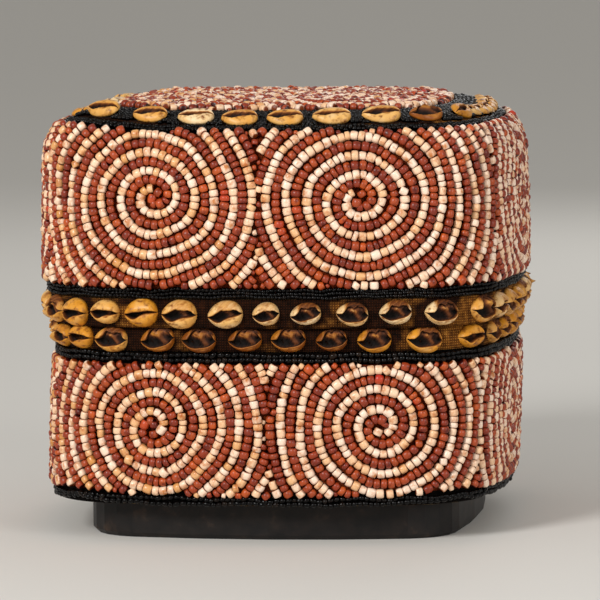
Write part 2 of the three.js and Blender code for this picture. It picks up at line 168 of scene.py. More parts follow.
# The outline: four bowed sides joined by round corners, each of which takes over where a bow has turned by
# BOW_TURN
CENTRES_APART = BOW_RADIUS - CORNER_RADIUS  # from a bow's centre to a corner's
BOW_TURN = math.acos((BOW_RADIUS - BASE_HALF_WIDTH) / CENTRES_APART / math.sqrt(2)) - math.pi / 4
CORNER_CENTRE = CENTRES_APART * math.sin(BOW_TURN)


def side_run(half):
    """Length of one side along the outline of a half-width, from corner to corner."""
    offset = half - BASE_HALF_WIDTH
    return 2 * ((BOW_RADIUS + offset) * BOW_TURN + (CORNER_RADIUS + offset) * (math.pi / 4 - BOW_TURN))


def outline(u, reference, half):
    """Plan points at distances u round the outline of the reference half-width, moved to another one."""
    run = side_run(reference)
    side = np.floor(u / run)
    within = u - (side + 0.5) * run
    offset = reference - BASE_HALF_WIDTH
    bow_run = (BOW_RADIUS + offset) * BOW_TURN
    on_bow = np.abs(within) <= bow_run
    past = BOW_TURN + (np.abs(within) - bow_run) / (CORNER_RADIUS + offset)
    turn = np.where(on_bow, within / (BOW_RADIUS + offset), np.sign(within) * past)
    radius = np.where(on_bow, BOW_RADIUS, CORNER_RADIUS) + half - BASE_HALF_WIDTH
    x = np.where(on_bow, 0, np.sign(within) * CORNER_CENTRE) + radius * np.sin(turn)
    y = np.where(on_bow, BOW_RADIUS - BASE_HALF_WIDTH, -CORNER_CENTRE) - radius * np.cos(turn)
    angle = side * math.pi / 2
    return x * np.cos(angle) - y * np.sin(angle), x * np.sin(angle) + y * np.cos(angle)


def curve(a, b, c, points=60):
    """A quadratic curve from a to c, drawn towards b."""
    t = np.linspace(0, 1, points)[:, None]
    return (1 - t) ** 2 * np.array(a) + 2 * t * (1 - t) * np.array(b) + t**2 * np.array(c)


def base_face():
    belly = (BASE_HALF_WIDTH + BASE_BELLY, UNDERSIDE + BASE_HEIGHT / 2)
    return curve((BASE_HALF_WIDTH - BASE_TAPER, UNDERSIDE), belly, (BASE_HALF_WIDTH, SHOULDER_Z))


def lid_face():
    half = LID_HALF - SHOULDER_LEAN
    z = TOP_EDGE_Z - SHOULDER_DROP
    fall = (half - TOP_HALF_WIDTH) * CROWN_POWER * TOP_CROWN / TOP_HALF_WIDTH
    wall = curve((LID_HALF, RIM_Z), (LID_HALF + LID_BELLY, (RIM_Z + z) / 2), (half, z))
    shoulder = curve((half, z), (half, TOP_EDGE_Z - fall), (TOP_HALF_WIDTH, TOP_EDGE_Z))
    return np.vstack([wall, shoulder[1:]])


def padding(x, y, z):
    """How far the dress stands out over the lid's padded corners and the base's padded left side."""
    corner = CORNER_CENTRE + CORNER_RADIUS / math.sqrt(2)
    near = np.exp(-((x + corner) ** 2 + (np.abs(y) - corner) ** 2) / CORNER_PADDING_REACH**2)
    on_lid = CORNER_PADDING * near * np.clip((z - TOP_EDGE_Z) / PADDING_FADE + 1, 0, 1)
    low = np.clip(1 - (z - UNDERSIDE) / HEM_PADDING_REACH, 0, 1)
    return on_lid + HEM_PADDING * np.clip(-x / PADDING_FADE - 2, 0, 1) * low


class Wall:
    """A wall's outer face. u is measured round the outline at the reference distance up the face."""

    def __init__(self, face, reference_v=0.0):
        self.face = face
        self.run = run_along(face)
        self.height = self.run[-1]
        self.reference = float(np.interp(reference_v, self.run, face[:, 0])) + BEAD / 2 + CLOTH
        self.round = 4 * side_run(self.reference)

    def point(self, v):
        return np.stack([np.interp(v, self.run, self.face[:, i]) for i in (0, 1)], -1)

    def at(self, u, v, out):
        return self.place(u, v, out + padding(*self.place(u, v, out).T).T)

    def place(self, u, v, out):
        v = np.clip(v, 0, self.height)
        above, below = np.minimum(v + LINE_STEP, self.height), np.maximum(v - LINE_STEP, 0)
        tangent = unit(self.point(above) - self.point(below))
        here = self.point(v)
        half = here[..., 0] + tangent[..., 1] * out
        z = here[..., 1] - tangent[..., 0] * out
        x, y = outline(u, self.reference, half)
        return np.stack([x, y, z + 0 * x], -1)


class Top:
    """The crowned top, with plan distances from its middle."""

    def at(self, x, y, out):
        fall = np.abs(x / TOP_HALF_WIDTH) ** CROWN_POWER + np.abs(y / TOP_HALF_WIDTH) ** CROWN_POWER
        padded = out + padding(x, y, TOP_EDGE_Z)
        return np.stack([x, y, TOP_EDGE_Z + TOP_CROWN * (1 - fall) + padded], -1)


class TopEdge:
    """The same, along its edge: u round the outline drawn in to a half-width, v inwards from there."""

    def __init__(self, half):
        self.half = half
        self.share = half / TOP_HALF_WIDTH
        self.round = 4 * side_run(TOP_HALF_WIDTH) * self.share

    def at(self, u, v, out):
        x, y = outline(u / self.share, TOP_HALF_WIDTH, TOP_HALF_WIDTH)
        shrink = (self.half - v) / TOP_HALF_WIDTH
        return Top().at(x * shrink, y * shrink, out)


def layers(*widths):
    """Where each layer up a wall begins and ends, with a seat gap between them."""
    spans = []
    first = 0
    for width in widths:
        spans.append((first, first + width))
        first += width + SEAT_GAP
    return spans


base_height, lid_height = Wall(base_face()).height, Wall(lid_face()).height
base_field = base_height - 2 * STRING_WIDTH - BASE_BAND_WIDTH - 3 * SEAT_GAP
lid_field = lid_height - LID_BAND_WIDTH - STRING_WIDTH - EDGE_STRING_WIDTH - 3 * SEAT_GAP
BASE_HEM, BASE_FIELD, BASE_LINE, BASE_BAND = layers(STRING_WIDTH, base_field, STRING_WIDTH, BASE_BAND_WIDTH)
LID_BAND, LID_LINE, LID_FIELD, LID_EDGE = layers(LID_BAND_WIDTH, STRING_WIDTH, lid_field, EDGE_STRING_WIDTH)
LID_BEADS = (LID_FIELD[0], LID_EDGE[1] - EDGE_STRING_ON_WALL)
BASE_CLOTH = (0.3, BASE_LINE[1])  # what the cloth under the beads covers
LID_CLOTH = (LID_LINE[0], LID_EDGE[1])
TOP_BAND_OUTER = TOP_HALF_WIDTH - SEAT_GAP
TOP_BAND_INNER = TOP_BAND_OUTER - TOP_BAND_WIDTH
TOP_STRING_OUTER = TOP_BAND_INNER - SEAT_GAP
TOP_FIELD_HALF = TOP_STRING_OUTER - TOP_STRING_WIDTH - SEAT_GAP


# Making pieces
def linked(name, data):
    """A new object in the scene."""
    made = bpy.data.objects.new(name, data)
    bpy.context.scene.collection.objects.link(made)
    return made


def mesh_from(bm, name):
    mesh = bpy.data.meshes.new(name)
    bm.to_mesh(mesh)
    bm.free()
    return mesh


def finished(name, mesh, material, body, replaces=()):
    """Links a mesh as a piece that rides on a body and stands for the CAD nodes named."""
    piece = linked(name, mesh)
    mesh.materials.append(material)
    for face in mesh.polygons:
        face.use_smooth = True
    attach(piece, body)
    if replaces:
        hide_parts(*replaces)
    return piece


def gathered(name, shapes, places, tints):
    """One mesh of copies of shapes, each put in its place and given a tint."""
    bm = bmesh.new()
    for shape, place in zip(shapes, places):
        copy = shape.copy()
        copy.transform(Matrix(place.tolist()))
        bm.from_mesh(copy)
        bpy.data.meshes.remove(copy)
    mesh = mesh_from(bm, name)
    sizes = [len(shape.vertices) for shape in shapes]
    mesh.attributes.new("tint", "FLOAT", "POINT").data.foreach_set("value", np.repeat(tints, sizes))
    return mesh


def places_on(surface, u, v, du, dv, out, sizes):
    """Placements on a surface: x along the direction (du, dv), z away from the surface."""
    reach = 0.4
    origin = surface.at(u, v, out)
    x = surface.at(u + reach * du, v + reach * dv, out) - surface.at(u - reach * du, v - reach * dv, out)
    z = unit(surface.at(u, v, out + reach) - origin)
    y = unit(np.cross(z, x))
    places = np.tile(np.eye(4), (len(u), 1, 1))
    places[:, :3, :3] = np.stack([np.cross(y, z), y, z], -1) * sizes[:, None, :] * MM
    places[:, :3, 3] = origin * MM
    return places


def cloth_section(low, high, inner, outer, swell=0.0, stations=10):
    """The section of a strip of cloth as points up a surface and out from it. swell rounds its outer face."""
    share = np.linspace(0, 1, stations)
    face = [(low + (high - low) * s, outer + swell * math.sin(math.pi * s) ** 0.6) for s in share]
    return [(low, inner), *face, (high, inner)]


def ring(name, surface, section, columns, ripple):
    """A closed ring of a section round the box, its outer face rippled. Its UV map, in metres, runs round the
    box and along the section."""
    loop = np.array([*section, section[0]])
    along = run_along(loop)
    bm = bmesh.new()
    bmesh.ops.create_grid(bm, x_segments=columns, y_segments=len(section), size=0.5)
    uv_layer = bm.loops.layers.uv.new("UVMap")
    for face in bm.faces:
        for corner in face.loops:
            station = round((corner.vert.co.y + 0.5) * len(section))
            corner[uv_layer].uv = ((corner.vert.co.x + 0.5) * surface.round * MM, along[station] * MM)
    flat = np.array([(p.co.x + 0.5, p.co.y + 0.5) for p in bm.verts])
    station = np.rint(flat[:, 1] * len(section)).astype(int)
    u, v, out = flat[:, 0] * surface.round, loop[station, 0], loop[station, 1]
    wave = np.sin(96 * math.pi * flat[:, 0] + 2 * np.sin(v)) * (out > loop[0, 1])
    for point, place in zip(bm.verts, surface.at(u, v, out + ripple * wave) * MM):
        point.co = place
    bmesh.ops.remove_doubles(bm, verts=bm.verts, dist=1e-6)
    bmesh.ops.recalc_face_normals(bm, faces=bm.faces)
    return mesh_from(bm, name)


def stretched(name, surface, span, thickness, columns, ripple, cotton, body, replaces=()):
    """A strip of cloth stretched round the box, sewn flat to the core."""
    mesh = ring(name, surface, cloth_section(*span, SEAT_GAP, SEAT_GAP + thickness), columns, ripple)
    cloth = finished(name, mesh, cotton, body, replaces)


# Threading beads. A bead is a row of u, v, its direction du and dv, its length and its width.
def bead_shape(rounding, segments):
    """A short piece of glass tube with its ends melted round, one unit long and wide, threaded along x. Its
    soil is lint in the hole at each end, and painted shade on the side towards the cloth,
    where z is low."""
    bm = bmesh.new()
    hole = 0.3
    profile = [(-0.5, hole), (-0.5 + rounding * 0.3, 0.5 - rounding * 0.3), (-(0.5 - rounding) + 0.06, 0.5)]
    profile += [(-x, r) for x, r in reversed(profile)]
    points = [bm.verts.new((x, r, 0)) for x, r in profile]
    edges = [bm.edges.new(pair) for pair in zip(points, points[1:])]
    bmesh.ops.spin(
        bm, geom=points + edges, cent=(0, 0, 0), axis=(1, 0, 0), angle=2 * math.pi, steps=segments,
        use_merge=True,
    )
    bmesh.ops.holes_fill(bm, edges=bm.edges, sides=segments)
    bmesh.ops.recalc_face_normals(bm, faces=bm.faces)
    # Lint in the hole at each end, and painted shade low on the side towards the cloth
    soil = bm.verts.layers.float.new("soil")
    for point in bm.verts:
        end = abs(point.co.x) > 0.49
        point[soil] = 1.0 if end else min(1.0, max(0.0, 0.15 - 2.2 * point.co.z))
    return mesh_from(bm, "bead")


def strayed(u, v, around):
    """How hand-sewn rows stray, as a smooth shift of u and v that closes round the box."""
    turn = 2 * math.pi * u / around
    du = 0.7 * np.sin(7 * turn + v / 13) + 0.4 * np.sin(19 * turn - v / 9 + 1)
    du += 0.2 * np.sin(61 * turn + v / 5)
    dv = 0.7 * np.sin(9 * turn + v / 17 + 2) + 0.4 * np.sin(23 * turn + v / 11)
    dv += 0.2 * np.sin(53 * turn - v / 4)
    return u + du, v + dv


def wound(centre, start, pitch, crowding, first, last):
    """Points of a string wound anticlockwise from the first radius to the last, crowded above its centre."""
    run = np.arange(math.pi * first**2 / pitch, math.pi * last**2 / pitch, LINE_STEP)
    radius = np.sqrt(run * pitch / math.pi)
    angle = (radius - start) * 2 * math.pi / pitch
    up = radius * np.sin(angle)
    return centre[0] + radius * np.cos(angle), centre[1] + up * np.where(up > 0, crowding, 1)


def threaded(surface, u, v, spacing, width):
    """Threads a whole number of beads, nose to tail, along a line."""
    run = run_along(surface.at(u, v, CLOTH + width / 2))
    if run[-1] < SHORTEST_RUN:
        return np.empty((0, 6))
    count = max(1, round(run[-1] / spacing))
    lengths = np.clip(random.normal(1, LENGTH_SPREAD, count), LEAST_LENGTH, MOST_LENGTH)
    lengths *= run[-1] / lengths.sum()
    ends = np.cumsum(lengths)
    noses = np.stack([np.interp(ends, run, u), np.interp(ends, run, v)], -1)
    tails = np.stack([np.interp(ends - lengths, run, u), np.interp(ends - lengths, run, v)], -1)
    widths = width * random.uniform(LEAST_WIDTH, MOST_WIDTH, count)
    return np.column_stack([(noses + tails) / 2, unit(noses - tails), lengths, widths])


def inside_runs(inside):
    """First and last index of each unbroken run."""
    edges = np.flatnonzero(np.diff(np.concatenate([[0], inside.astype(int), [0]])))
    return edges.reshape(-1, 2)


def room(u, v, beads, around):
    """How far each point is from the nearest bead."""
    free = np.full(len(u), np.inf)
    for bead in beads:
        free = np.minimum(free, np.hypot(apart(u, bead[0], around), v - bead[1]))
    return free


def spiral(surface, path, around, within, spacing, width, others):
    """The beads of a wound string, on the parts of it that lie within a field and clear of other strings."""
    u, v = strayed(*path, around)
    du, dv = np.gradient(u), np.gradient(v)
    step = np.hypot(du, dv)
    inside = within(u, v, np.abs(dv / step) * ON_FIELD * width, np.abs(du / step) * ON_FIELD * width)
    inside[inside] = room(u[inside], v[inside], others, around) > BETWEEN_STRINGS
    runs = [threaded(surface, u[a:b], v[a:b], spacing, width) for a, b in inside_runs(inside) if b - a > 2]
    return np.vstack([np.empty((0, 6)), *runs])


def fillers(beads, low, high, around, within):
    """Loose beads for the room that the strings of a cell leave. low and high are the cell's corners."""
    u, v = np.meshgrid(np.arange(low[0], high[0], FILLER_GRID), np.arange(low[1], high[1], FILLER_GRID))
    u, v = u.ravel(), v.ravel()
    keep = within(u, v, 0.4 * FILLER_BEAD, 0.4 * FILLER_BEAD)
    u, v = u[keep], v[keep]
    free = room(u, v, beads, around)
    added = []
    while free.max() > ROOM_FOR_A_BEAD:
        best = int(free.argmax())
        angle = random.uniform(0, math.pi)
        size = min(FILLER_BEAD, 2 * (free[best] - 1.75)) * random.uniform(0.96, 1.06)
        added.append([u[best], v[best], math.cos(angle), math.sin(angle), 0.85 * size, size])
        free = np.minimum(free, np.hypot(u - u[best], v - v[best]))
    return np.array(added).reshape(-1, 6)


# A part of a field that one spiral fills: its winding, its centre, its low and high corners, and the test of
# what lies within it
Cell = namedtuple("Cell", "winding centre low high within")


def cells_of_beads(surface, cells, around):
    """The pale and the red beads of each cell."""
    strings = []
    for cell in cells:
        corners = [(u, v) for u in (cell.low[0], cell.high[0]) for v in (cell.low[1], cell.high[1])]
        _, _, start, pitch, crowding = cell.winding
        last = max(math.dist(cell.centre, corner) for corner in corners) / crowding + BEAD
        pale_path = wound(cell.centre, start, pitch, crowding, PALE_INNER, last)
        red_path = wound(cell.centre, start + pitch / 2, pitch, crowding, RED_INNER, last)
        others = np.vstack([np.empty((0, 6)), *[both for pair in strings for both in pair]])
        pale = spiral(surface, pale_path, around, cell.within, PALE_SPACING, PALE_WIDTH, others)
        red = spiral(surface, red_path, around, cell.within, RED_SPACING, RED_WIDTH, others)
        strings.append((pale, red))
    filled = []
    for cell, (pale, red) in zip(cells, strings):
        everything = np.vstack([both for pair in strings for both in pair])
        loose = fillers(everything, cell.low, cell.high, around, cell.within)
        is_pale = random.random(len(loose)) < PALE_FILLERS
        filled.append((np.vstack([pale, loose[is_pale]]), np.vstack([red, loose[~is_pale]])))
        strings.append((loose, np.empty((0, 6))))
    return filled


def some_winding(across, up):
    """A winding for a side that the photograph doesn't show."""
    centre = across + random.normal(0, 2.5), up + random.normal(0, 1.5)
    return Winding(*centre, random.uniform(0, LEAST_PITCH), random.uniform(LEAST_PITCH, MOST_PITCH))


def hem(surface, u):
    """How far the base's hem has risen at a distance round the box: level along a side, up at its corners."""
    run = surface.round / 4
    within = (u % run) / run * 2 - 1
    return HEM_RISE * (np.abs(within) ** 3 - 0.2)


def wall_beads(surface, field, front, shifts, hemmed):
    """For each side, the pale and the red beads of its two cells."""
    run = surface.round / 4
    cells = []
    for side in range(4):
        middle = (side + 0.5) * run
        left = side * run + shifts[side]
        right = (side + 1) * run + shifts[(side + 1) % 4]
        if side == 0:
            pair = front
        else:
            places = [left + share * (right - left) - middle for share in SPIRAL_SHARES[side]]
            pair = [some_winding(across, front[0].up) for across in places]
        seam = middle + (pair[0].across + pair[1].across) / 2
        for winding, low, high in ((pair[0], left, seam), (pair[1], seam, right)):

            def within(u, v, across, up, low=low, high=high):
                bottom = field[0] + (hem(surface, u) if hemmed else 0)
                on_side = (u > low - SEAM_OVERLAP + across) & (u < high - 0.2 * across)
                return on_side & (v > bottom + up) & (v < field[1] - up)

            centre = (middle + winding.across, winding.up)
            cells.append(Cell(winding, centre, (low - SEAM_OVERLAP, field[0] - 1), (high, field[1]), within))
    beads = cells_of_beads(surface, cells, surface.round)
    return [[np.vstack(colour) for colour in zip(beads[2 * i], beads[2 * i + 1])] for i in range(4)]


def reached(surface, beads, u, way, least):
    """How far a field's beads reach up a surface (way 1) or down it (way -1) at distances u, smoothed."""
    reach = np.full(len(u), way * least)
    for bead in beads:
        near = apart(u, bead[0], surface.round) < bead[5] / 2 + 0.3
        reach[near] = np.maximum(reach[near], way * bead[1] + 0.46 * bead[5])
    half = 5  # points that the smoothing takes in on each side
    share = np.hanning(2 * half + 1) / np.hanning(2 * half + 1).sum()
    return way * np.convolve(np.pad(reach, half, mode="wrap"), share, mode="valid")


def top_half_width(x, y, points=720):
    """The half-width of the drawn-in outline that passes through plan points of the top."""
    edge_u = np.linspace(0, 4 * side_run(TOP_HALF_WIDTH), points, endpoint=False)
    ex, ey = outline(edge_u, TOP_HALF_WIDTH, TOP_HALF_WIDTH)
    edge_angle = np.arctan2(ey, ex)
    order = np.argsort(edge_angle)
    radius = np.interp(np.arctan2(y, x), edge_angle[order], np.hypot(ex, ey)[order], period=2 * math.pi)
    return TOP_HALF_WIDTH * np.hypot(x, y) / radius


def top_beads(surface):
    """The pale and the red beads of the top's four cells."""
    cells = []
    for sx in (-1, 1):
        for sy in (-1, 1):

            def within(x, y, across, along, sx=sx, sy=sy):
                on_field = top_half_width(x, y) < TOP_FIELD_HALF - np.hypot(across, along) * 0.7
                return (x * sx > 0.2 * across) & (y * sy > 0.2 * along) & on_field

            winding = some_winding(sx * TOP_FIELD_HALF / 2, sy * TOP_FIELD_HALF / 2)
            low = (min(0, sx * TOP_FIELD_HALF), min(0, sy * TOP_FIELD_HALF))
            high = (max(0, sx * TOP_FIELD_HALF), max(0, sy * TOP_FIELD_HALF))
            cells.append(Cell(winding, (winding.across, winding.up), low, high, within))
    far_round = 1e6  # plan distances on the top don't close
    return [np.vstack(colour) for colour in zip(*cells_of_beads(surface, cells, far_round))]


def black_rows(surface, u, low, high, count, spacing, widest=SMALL_BEAD):
    """Rows of small beads side by side between two distances, each straying a little."""
    turn = 2 * math.pi * u / surface.round
    low, high = low + 0 * u, high + 0 * u
    width = min(widest, float(np.mean(high - low)) / count * 1.12)
    rows = []
    for row in range(count):
        stray = 0.25 * np.sin(11 * turn + row) + 0.25 * np.sin(29 * turn) + 0.15 * np.sin(71 * turn + 2 * row)
        middle = low + width / 2 + (high - low - width) * row / max(1, count - 1)
        rows.append(threaded(surface, u, middle + stray, spacing, width))
    return np.vstack(rows)


def string(name, surface, u, low, high, count, spacing, body):
    beads = black_rows(surface, u, low, high, count, spacing, max(spacing, SMALL_BEAD))
    sewn(f"{name}_beads", surface, beads, BLACK, body, [name])


def sewn(name, surface, beads, glass, body, replaces=()):
    """A piece of beads on a surface, narrowed where it crowds them. Here and there one is loose, and stands
    out or askew."""
    u, v, du, dv, length, width = beads.T
    reach = 0.5
    aside, along = dv * reach, du * reach
    across = surface.at(u - aside, v + along, CLOTH) - surface.at(u + aside, v - along, CLOTH)
    width = width * np.clip(np.linalg.norm(across, axis=1), 0.78, 1.02)
    loose = random.random(len(u)) < LOOSE_SHARE
    askew = random.normal(0, 0.09, len(u)) + loose * random.normal(0, 0.5, len(u))
    du, dv = du * np.cos(askew) - dv * np.sin(askew), du * np.sin(askew) + dv * np.cos(askew)
    out = SEAT_GAP + CLOTH + width / 2 + random.normal(0, 0.15, len(u))
    out += loose * random.uniform(0, 0.8, len(u))
    sizes = np.column_stack([length * random.uniform(0.93, 1.0, len(u)), width, width])
    places = places_on(surface, u, v, du, dv, out, sizes)
    mesh = gathered(name, [glass.shape] * len(u), places, random.uniform(0, 1, len(u)))
    finished(name, mesh, glass.material, body, replaces)


# Cowrie shells: where the rows of points lie across a lip, from the mouth to the rim, and how high
LIP_ACROSS = [0.0, 0.04, 0.1, 0.2, 0.34, 0.5, 0.66, 0.8, 0.92, 1.0]
LIP_RISE = [0.35, 0.75, 0.95, 1, 1, 1, 1, 1, 1, 1]
FLOOR_ROWS = 3  # from the middle of the mouth to each lip


def cowrie(mouth, crescent, window, phase):
    """A cowrie with its back cut away, mouth up and its narrow end towards -x: one unit long, wide and high.
    mouth is how far the slit gapes towards the narrow end, crescent how much of the lower lip's inner side
    has gone, and window how much of the upper lip has broken out, down to the rough whorl inside."""
    bm = bmesh.new()
    columns, rows = 36, FLOOR_ROWS + len(LIP_ACROSS) - 1
    bmesh.ops.create_grid(bm, x_segments=columns, y_segments=2 * rows, size=0.5)
    hollow = bm.verts.layers.float.new("hollow")
    for point in bm.verts:
        s = -math.cos((point.co.x + 0.5) * math.pi)  # from -1 at the narrow end to 1
        place = point.co.y * 2 * rows
        lip, row = math.copysign(1, place), round(abs(place))
        if s < 0:
            swell = max(0.0, 1 - abs(s) ** 1.7) ** 0.62
        else:
            swell = max(0.0, 1 - s**2.8) ** 0.5
        slit = 0.05 + mouth * math.exp(-(((s + 0.42) / 0.36) ** 2))
        ragged = 0.1 * math.sin(8 * s + phase) + 0.06 * math.sin(19 * s + 2 * phase)
        opened = min(1.0, max(0.0, (s + 0.62) / 0.4)) * min(1.0, max(0.0, (0.99 - s) / 0.25))
        gone = window * opened if lip > 0 else 0.0
        if lip > 0:
            edge = 0.5 * slit + gone * (0.6 + ragged)
        else:
            edge = 1.2 * slit * (1 - 0.8 * crescent) + 0.58 * crescent * max(0.0, 1 - s**4) ** 0.5
        edge = min(0.84, max(0.03, edge))
        rough = 0.5 + 0.25 * math.sin(17 * s + phase + 5 * row)
        rough += 0.25 * math.sin(29 * s - 2 * phase + 3 * row)
        if row < FLOOR_ROWS:
            y = edge * row / FLOOR_ROWS
            whorl = math.exp(-(((s - 0.3 + 0.6 * lip * y) / 0.2) ** 2))
            torn = gone * y * 1.5
            up = 0.1 + (0.4 * whorl + 0.2 * rough) * max(window, crescent) + 0.5 * torn
            # The mouth's floor: painted shade, deepest low down, lighter on the raised whorl and where the
            # torn back shows its brown
            dark = 1 - 0.45 * whorl - 0.5 * torn - 0.15 * rough
        else:
            station = row - FLOOR_ROWS
            y = edge + (1 - edge) * LIP_ACROSS[station]
            dome = max(0.0, 1 - y**2.5) ** 0.58
            teeth = 0.03 * math.cos(9 * math.pi * s) * (1 if station in (2, 3) else 0)
            up = LIP_RISE[station] * dome * (1 - 0.4 * gone * rough) + teeth
            # Darker towards the slit: painted shade where the lip turns down into the mouth; where the lip
            # has broken out, the rough brown inside
            inside = max(0.0, 0.85 - 0.27 * station) * (1 - 0.3 * rough)
            dark = max(inside, min(0.85, 0.8 * gone) * (0.5 + 0.45 * rough))
            if lip < 0:
                # Painted shade in the fold of the lower lip, by the mouth
                fold = math.exp(-(((s - 0.3) / 0.2) ** 2) - ((y - edge - 0.16) / 0.09) ** 2) * mouth * 2.2
                up -= 0.3 * fold
                dark = max(dark, 0.6 * fold)
        bend = 0.1 * math.sin(2.4 * s) * (1 - y)
        height = min(1.0, 0.32 + 0.85 * swell) * min(1.0, 4 * swell)
        point.co = Vector((s * 0.5, (lip * y + bend) * swell * 0.5, up * height))
        point[hollow] = min(1.0, max(0.0, dark))
    bmesh.ops.remove_doubles(bm, verts=bm.verts, dist=1e-5)
    bmesh.ops.holes_fill(bm, edges=[e for e in bm.edges if e.is_boundary], sides=0)
    bmesh.ops.recalc_face_normals(bm, faces=bm.faces)
    return mesh_from(bm, "cowrie")


WHOLE = cowrie(0.22, 0.0, 0.0, 0.0)
GAPING = cowrie(0.34, 0.3, 0.1, 1.0)
HOLED = cowrie(0.26, 0.25, 0.35, 2.0)
BARRED = cowrie(0.2, 0.85, 0.3, 1.5)
BROKEN = cowrie(0.2, 0.75, 0.8, 3.0)
WORN = cowrie(0.2, 0.95, 1.0, 4.2)
SHATTERED = cowrie(0.25, 0.95, 1.3, 5.0)
KINDS = [WHOLE, GAPING, HOLED, BARRED, BROKEN, WORN, SHATTERED]

# Each front shell: its kind, its distance from the middle of its side, its length, its width and how brown
# it is
LID_FRONT_SHELLS = [
    (GAPING, -84.6, 14.5, 12.4, 0.55), (GAPING, -68.3, 13.2, 10.6, 0.42), (WHOLE, -51.9, 14.8, 12.6, 0.58),
    (HOLED, -35.1, 15.4, 12.8, 0.4), (HOLED, -15.2, 15.2, 12.2, 0.28), (BARRED, 2.2, 11.6, 10.2, 0.25),
    (BROKEN, 19.1, 13.2, 9.6, 0.2), (WORN, 38.8, 13.6, 10.4, 0.25), (BROKEN, 57.1, 13.8, 10.6, 0.15),
    (WORN, 77.3, 14.6, 11.2, 0.2),
]
# The base's shells are browner than the lid's: partly their own tone, partly painted shade under the lid's
# overhang
BASE_FRONT_SHELLS = [
    (GAPING, -81.6, 14.0, 10.8, 0.6), (BROKEN, -65.8, 15.0, 11.2, 0.48),
    (SHATTERED, -45.0, 15.0, 11.2, 0.75), (SHATTERED, -27.0, 15.0, 11.0, 0.88),
    (SHATTERED, -7.1, 14.6, 10.2, 0.85), (SHATTERED, 11.3, 15.0, 11.0, 0.78),
    (SHATTERED, 29.6, 13.4, 9.8, 0.9), (WORN, 47.6, 14.6, 11.2, 0.62), (BROKEN, 68.8, 15.2, 11.8, 0.52),
]
TOP_FRONT_SHELLS = [
    (GAPING, -74.6, 17.0, 10.6, 0.45), (HOLED, -51.0, 15.4, 10.0, 0.5), (WHOLE, -30.1, 15.8, 10.4, 0.2),
    (HOLED, -10.4, 15.8, 10.6, 0.45), (GAPING, 9.7, 15.6, 10.8, 0.45), (WHOLE, 30.3, 16.6, 10.8, 0.35),
    (HOLED, 52.1, 16.8, 10.8, 0.35), (SHATTERED, 72.3, 15.0, 9.8, 0.8),
]
# On the other sides, the chance of each kind in a row
MIXED = (0.12, 0.16, 0.16, 0.16, 0.16, 0.16, 0.08)
SOUND = (0.25, 0.3, 0.2, 0.2, 0.05, 0.0, 0.0)


def some_shells(count, first, last, size, brown, chances):
    """A row of shells for a side that the photograph doesn't show, from a first to a last place along it."""
    across = np.linspace(first, last, count) + random.normal(0, 0.5, count)
    sizes = np.array(size[:2]) * random.uniform(0.88, 1.02, (count, 2))
    browns = np.clip(random.normal(brown, 0.12, count), 0, 1)
    kinds = random.choice(len(KINDS), count, p=chances)
    places = np.column_stack([across, sizes, browns]).tolist()
    return [(KINDS[kind], *place) for kind, place in zip(kinds, places)]


def shell_row(part, surface, side, row, v, out, height, leans):
    """One side's shells. leans are how far they tip down the surface, each lifted until its edge is clear."""
    kinds, across, lengths, widths, browns = zip(*row)
    u = (side + 0.5) * surface.round / 4 + np.array(across)
    v = np.full(len(row), v) + random.normal(0, 0.25, len(row))
    tilt = random.normal(0, 0.08, len(row))
    out = out + 0.55 * (np.array(widths) / 2) * np.sin(leans)
    places = places_on(surface, u, v, np.cos(tilt), np.sin(tilt), out, np.ones((len(row), 3)))
    places = places @ np.array([Matrix.Rotation(lean, 4, "X") for lean in leans])
    sizes = zip(lengths, widths)
    places = places @ np.array([np.diag([length, width, height, 1]) for length, width in sizes])
    mesh = gathered(f"{part}_shells", kinds, places, browns)
    finished(f"{part}_shells", mesh, SHELL, part.split("_")[0], [f"{part}_cowries"])


# Materials
def linear(hex_colour):
    """An sRGB colour such as 0x8C3A26 as linear RGBA."""
    channels = [(hex_colour >> shift & 255) / 255 for shift in (16, 8, 0)]
    return (*[c / 12.92 if c <= 0.04045 else ((c + 0.055) / 1.055) ** 2.4 for c in channels], 1)


def blank(name):
    """A material without nodes, and the function that adds one: it sets the node's settings and a colour
    ramp's stops, sets or links its inputs, and gives its outputs."""
    material = bpy.data.materials.new(name)
    material.use_nodes = True
    tree = material.node_tree
    tree.nodes.clear()

    def node(kind, inputs, stops=(), **settings):
        made = tree.nodes.new("ShaderNode" + kind)
        for key, value in settings.items():
            setattr(made, key, value)
        for _ in stops[2:]:  # a new ramp has two
            made.color_ramp.elements.new(0.5)
        for stop, (place, colour) in enumerate(stops):
            element = made.color_ramp.elements[stop]
            element.position = place
            element.color = linear(colour)
        for key, value in inputs.items():
            if isinstance(value, bpy.types.NodeSocket):
                tree.links.new(value, made.inputs[key])
            else:
                made.inputs[key].default_value = value
        return made.outputs

    return material, node


def closed(node, colour, roughness, shine=0.5, relief=None):
    """Ends a material in the standard shader. Its relief is a height, a strength and a depth in metres."""
    inputs = {"Base Color": colour, "Roughness": roughness, "IOR": 1.5, "Specular IOR Level": shine}
    if relief:
        height, strength, depth = relief
        inputs["Normal"] = node("Bump", {"Height": height, "Strength": strength, "Distance": depth})[0]
    node("OutputMaterial", {"Surface": node("BsdfPrincipled", inputs)[0]})


